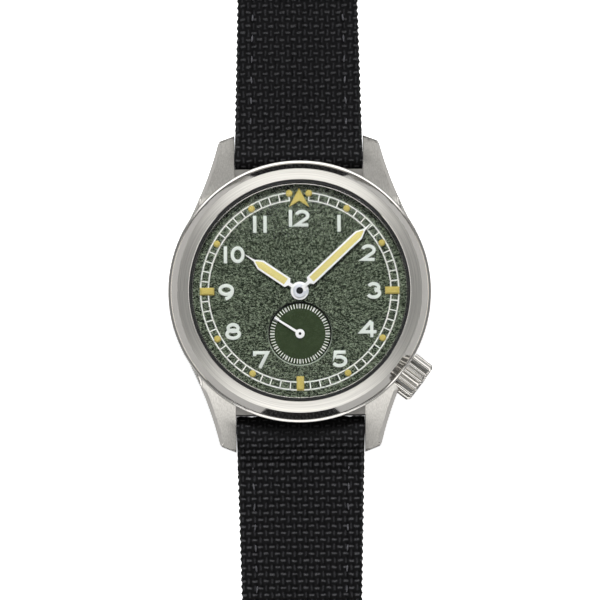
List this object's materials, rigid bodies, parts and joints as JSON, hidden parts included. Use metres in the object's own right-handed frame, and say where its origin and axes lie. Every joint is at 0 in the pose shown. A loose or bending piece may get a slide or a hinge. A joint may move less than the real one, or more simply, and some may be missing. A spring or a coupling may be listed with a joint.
{
  "type": "field watch",
  "caption": "Round steel wristwatch with a green dial, a sunk seconds dial, an offset crown, a geared automatic movement and a two-piece woven strap with a pin buckle.",
  "frame": {"origin": "centre of the case back's outer flat face, on the surface that the open watch lies on", "axes": "+Z out of the dial, +Y towards 12 o'clock and the buckle, +X towards 3 o'clock"},
  "size_m": [0.0372, 0.2453, 0.0108],
  "materials": {
    "brushed_steel_case": "brushed and polished",
    "brushed_steel_bezel": "circular brushed",
    "crystal_glass": "polished, coated",
    "black_seal": "moulded",
    "green_dial": "grained",
    "green_seconds_dial": "matt",
    "lume": "luminous compound",
    "hand_metal": "satin",
    "movement_brass": "gilt",
    "movement_nickel": "nickel plated",
    "blued_screw": "polished",
    "spring_steel": "blued",
    "white_ring": "moulded",
    "woven_strap": "coarse weave",
    "strap_lining": "fine weave",
    "buckle_steel": "brushed"
  },
  "bodies": {
    "case": {"mid_case": "brushed_steel_case", "bezel": "brushed_steel_bezel", "crystal": "crystal_glass", "crystal_gasket": "black_seal", "case_back": "brushed_steel_case", "case_back_gasket": "black_seal", "crown_tube": "brushed_steel_case", "dial": "green_dial", "seconds_dial": "green_seconds_dial", "hour_markers": "lume", "main_plate": "movement_nickel", "train_bridge": "movement_nickel", "balance_cock": "movement_nickel", "bridge_screws": "blued_screw", "movement_ring": "white_ring", "holder_clamps": "movement_nickel", "clamp_screws": "blued_screw", "hairspring": "spring_steel", "barrel_arbor": "spring_steel", "mainspring": "spring_steel", "rotor_bearing": "spring_steel", "spring_bar_tubes": "buckle_steel"},
    "winding_works": {"winding_pinion": "spring_steel"},
    "crown": {"crown": "brushed_steel_case", "crown_gasket": "black_seal", "winding_stem": "spring_steel"},
    "clutch": {"sliding_pinion": "spring_steel"},
    "minute_works": {"centre_wheel": "movement_brass", "cannon_pinion": "spring_steel", "minute_hand": "hand_metal", "minute_hand_lume": "lume"},
    "hour_works": {"hour_wheel": "movement_brass", "hour_hand": "hand_metal", "hour_hand_lume": "lume"},
    "minute_wheel": {"minute_wheel": "movement_brass"},
    "barrel": {"mainspring_barrel": "movement_brass", "barrel_cover": "movement_brass"},
    "third_wheel": {"third_wheel": "movement_brass"},
    "seconds_works": {"fourth_wheel": "movement_brass", "seconds_hand": "hand_metal"},
    "escape_wheel": {"escape_wheel": "movement_nickel"},
    "pallet_fork": {"pallet_fork": "movement_nickel"},
    "balance": {"balance_wheel": "movement_brass", "balance_staff": "spring_steel"},
    "rotor": {"rotor": "movement_nickel"},
    "bar_tip_12_right": {"bar_tip_12_right": "buckle_steel"},
    "bar_tip_12_left": {"bar_tip_12_left": "buckle_steel"},
    "bar_tip_6_right": {"bar_tip_6_right": "buckle_steel"},
    "bar_tip_6_left": {"bar_tip_6_left": "buckle_steel"},
    "short_strap": {"short_strap_cover": "woven_strap", "short_strap_lining": "strap_lining", "fixed_keeper": "woven_strap"},
    "free_keeper": {"free_keeper": "woven_strap"},
    "buckle": {"buckle_frame": "buckle_steel", "buckle_pin": "buckle_steel"},
    "tang": {"buckle_tang": "buckle_steel"},
    "long_strap": {"long_strap_cover": "woven_strap", "long_strap_lining": "strap_lining"}
  },
  "joints": [
    {"name": "minute_hand_turn", "type": "hinge", "parent": "case", "child": "minute_works", "pos_m": [0, 0, 0.0059], "axis": [0, 0, -1], "continuous": true},
    {"name": "hour_hand_turn", "type": "hinge", "parent": "case", "child": "hour_works", "pos_m": [0, 0, 0.0068], "axis": [0, 0, -1], "continuous": true},
    {"name": "minute_wheel_turn", "type": "hinge", "parent": "case", "child": "minute_wheel", "pos_m": [-0.00042, 0.00236, 0.00657], "axis": [0, 0, -1], "continuous": true},
    {"name": "barrel_turn", "type": "hinge", "parent": "case", "child": "barrel", "pos_m": [0.00304, 0.00527, 0.0043], "axis": [0, 0, -1], "continuous": true},
    {"name": "third_wheel_turn", "type": "hinge", "parent": "case", "child": "third_wheel", "pos_m": [0.00339, -0.00373, 0.0047], "axis": [0, 0, -1], "continuous": true},
    {"name": "seconds_hand_turn", "type": "hinge", "parent": "case", "child": "seconds_works", "pos_m": [0, -0.006, 0.00515], "axis": [0, 0, -1], "continuous": true},
    {"name": "escape_wheel_turn", "type": "hinge", "parent": "case", "child": "escape_wheel", "pos_m": [-0.0033, -0.0072, 0.00415], "axis": [0, 0, -1], "continuous": true},
    {"name": "pallet_fork_rock", "type": "hinge", "parent": "case", "child": "pallet_fork", "pos_m": [-0.00536, -0.00509, 0.00415], "axis": [0, 0, 1], "range_deg": [-6, 6]},
    {"name": "balance_swing", "type": "hinge", "parent": "case", "child": "balance", "pos_m": [-0.0082, -0.0022, 0.0052], "axis": [0, 0, 1], "range_deg": [-270, 270], "stiffness_Nm_per_rad": 0.0000002},
    {"name": "rotor_turn", "type": "hinge", "parent": "case", "child": "rotor", "pos_m": [0, 0, 0.00298], "axis": [0, 0, 1], "continuous": true},
    {"name": "crown_turn", "type": "hinge", "parent": "case", "child": "winding_works", "pos_m": [0, 0, 0.0044], "axis": [0.7934, -0.6088, 0], "continuous": true},
    {"name": "crown_pull", "type": "slide", "parent": "winding_works", "child": "crown", "axis": [0.7934, -0.6088, 0], "range_m": [0, 0.0012]},
    {"name": "clutch_slide", "type": "slide", "parent": "winding_works", "child": "clutch", "axis": [-0.7934, 0.6088, 0], "range_m": [0, 0.0006]},
    {"name": "short_strap_swing", "type": "hinge", "parent": "case", "child": "short_strap", "pos_m": [0, 0.0194, 0.0024], "axis": [1, 0, 0], "range_deg": [-85, 60]},
    {"name": "long_strap_swing", "type": "hinge", "parent": "case", "child": "long_strap", "pos_m": [0, -0.0194, 0.0024], "axis": [-1, 0, 0], "range_deg": [-85, 60]},
    {"name": "free_keeper_slide", "type": "slide", "parent": "short_strap", "child": "free_keeper", "axis": [0, 1, 0], "range_m": [-0.009, 0.0075]},
    {"name": "buckle_swing", "type": "hinge", "parent": "short_strap", "child": "buckle", "pos_m": [0, 0.0944, 0.0024], "axis": [1, 0, 0], "range_deg": [-75, 45]},
    {"name": "tang_swing", "type": "hinge", "parent": "buckle", "child": "tang", "pos_m": [0, 0.0944, 0.0024], "axis": [1, 0, 0], "range_deg": [0, 95]},
    {"name": "bar_tip_12_right_press", "type": "slide", "parent": "case", "child": "bar_tip_12_right", "axis": [-1, 0, 0], "range_m": [0, 0.0009], "stiffness_N_per_m": 200},
    {"name": "bar_tip_6_right_press", "type": "slide", "parent": "case", "child": "bar_tip_6_right", "axis": [-1, 0, 0], "range_m": [0, 0.0009], "stiffness_N_per_m": 200},
    {"name": "bar_tip_12_left_press", "type": "slide", "parent": "case", "child": "bar_tip_12_left", "axis": [1, 0, 0], "range_m": [0, 0.0009], "stiffness_N_per_m": 200},
    {"name": "bar_tip_6_left_press", "type": "slide", "parent": "case", "child": "bar_tip_6_left", "axis": [1, 0, 0], "range_m": [0, 0.0009], "stiffness_N_per_m": 200}
  ],
  "couplings": [
    {"joint": "hour_hand_turn", "follows": "minute_hand_turn", "ratio": 0.083333},
    {"joint": "minute_wheel_turn", "follows": "minute_hand_turn", "ratio": -0.33333},
    {"joint": "barrel_turn", "follows": "minute_hand_turn", "ratio": -0.16667},
    {"joint": "third_wheel_turn", "follows": "minute_hand_turn", "ratio": -8},
    {"joint": "seconds_hand_turn", "follows": "minute_hand_turn", "ratio": 60},
    {"joint": "escape_wheel_turn", "follows": "minute_hand_turn", "ratio": -720},
    {"joint": "clutch_slide", "follows": "crown_pull", "ratio": 0.5}
  ]
}
